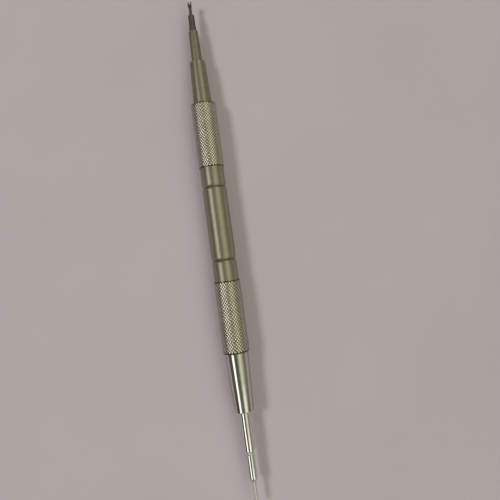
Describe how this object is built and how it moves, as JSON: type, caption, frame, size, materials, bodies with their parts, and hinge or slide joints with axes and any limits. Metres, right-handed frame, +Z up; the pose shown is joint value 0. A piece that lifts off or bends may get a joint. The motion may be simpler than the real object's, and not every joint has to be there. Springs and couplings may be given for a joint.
{
  "type": "spring bar tool",
  "caption": "Double-ended steel spring bar tool: plain barrel, knurled grips and tapered noses that hold a fork at one end and a thin pin at the other; spare tips inside.",
  "frame": {"origin": "on the surface that the tool lies on, under the middle of its overall length and under its axis", "axes": "+X along the tool towards the pin end, +Y across it, +Z up; the tool's axis is 3.4 mm above the origin and the middle of the centre barrel is at x = -2.2 mm"},
  "size_m": [0.1328, 0.0068, 0.0068],
  "materials": {
    "satin": "turned satin steel",
    "polished": "mirror-polished steel",
    "thread": "as turned steel",
    "spring": "spring steel, fine ground",
    "dark": "hardened and darkened steel",
    "wire": "drawn wire, satin"
  },
  "bodies": {
    "barrel": {"centre_barrel": "satin", "fork_joining_stud": "thread", "pin_joining_stud": "thread"},
    "fork_stop": {"fork_stop_plug": "thread"},
    "fork_grip": {"fork_grip": "satin"},
    "fork_collet": {"fork_collet": "spring"},
    "fork_nose": {"fork_nose": "satin"},
    "fork_tip": {"fork_shank": "satin", "fork_blade": "dark"},
    "pin_stop": {"pin_stop_plug": "thread"},
    "pin_grip": {"pin_grip": "satin"},
    "pin_collet": {"pin_collet": "spring"},
    "pin_nose": {"pin_nose": "polished"},
    "pin_tip": {"pin_shank": "polished", "pin_wire": "wire"},
    "spare_fork": {"spare_fork_shank": "satin", "spare_fork_blade": "dark"},
    "spare_pin": {"spare_pin_shank": "polished", "spare_pin_wire": "wire"}
  },
  "joints": [
    {"name": "fork_grip_travel", "type": "slide", "parent": "barrel", "child": "fork_stop", "axis": [-1, 0, 0], "range_m": [0, 0.005]},
    {"name": "fork_grip_turn", "type": "hinge", "parent": "fork_stop", "child": "fork_grip", "pos_m": [-0.0119, 0, 0.0034], "axis": [-1, 0, 0], "range_deg": [0, 3600]},
    {"name": "fork_nose_travel", "type": "slide", "parent": "fork_grip", "child": "fork_collet", "axis": [-1, 0, 0], "range_m": [0, 0.004]},
    {"name": "fork_nose_turn", "type": "hinge", "parent": "fork_collet", "child": "fork_nose", "pos_m": [-0.0354, 0, 0.0034], "axis": [-1, 0, 0], "range_deg": [0, 2880]},
    {"name": "fork_tip_draw", "type": "slide", "parent": "fork_collet", "child": "fork_tip", "axis": [-1, 0, 0], "range_m": [0, 0.0095]},
    {"name": "pin_grip_travel", "type": "slide", "parent": "barrel", "child": "pin_stop", "axis": [1, 0, 0], "range_m": [0, 0.005]},
    {"name": "pin_grip_turn", "type": "hinge", "parent": "pin_stop", "child": "pin_grip", "pos_m": [0.0075, 0, 0.0034], "axis": [1, 0, 0], "range_deg": [0, 3600]},
    {"name": "pin_nose_travel", "type": "slide", "parent": "pin_grip", "child": "pin_collet", "axis": [1, 0, 0], "range_m": [0, 0.004]},
    {"name": "pin_nose_turn", "type": "hinge", "parent": "pin_collet", "child": "pin_nose", "pos_m": [0.031, 0, 0.0034], "axis": [1, 0, 0], "range_deg": [0, 2880]},
    {"name": "pin_tip_draw", "type": "slide", "parent": "pin_collet", "child": "pin_tip", "axis": [1, 0, 0], "range_m": [0, 0.0095]},
    {"name": "spare_fork_slide", "type": "slide", "parent": "barrel", "child": "spare_fork", "axis": [1, 0, 0], "range_m": [-0.0008, 0.0008]},
    {"name": "spare_pin_slide", "type": "slide", "parent": "barrel", "child": "spare_pin", "axis": [1, 0, 0], "range_m": [-0.0008, 0.0008]}
  ],
  "couplings": [
    {"joint": "fork_grip_turn", "follows": "fork_grip_travel", "rad_per_m": 12566},
    {"joint": "fork_nose_turn", "follows": "fork_nose_travel", "rad_per_m": 12566},
    {"joint": "pin_grip_turn", "follows": "pin_grip_travel", "rad_per_m": 12566},
    {"joint": "pin_nose_turn", "follows": "pin_nose_travel", "rad_per_m": 12566}
  ]
}
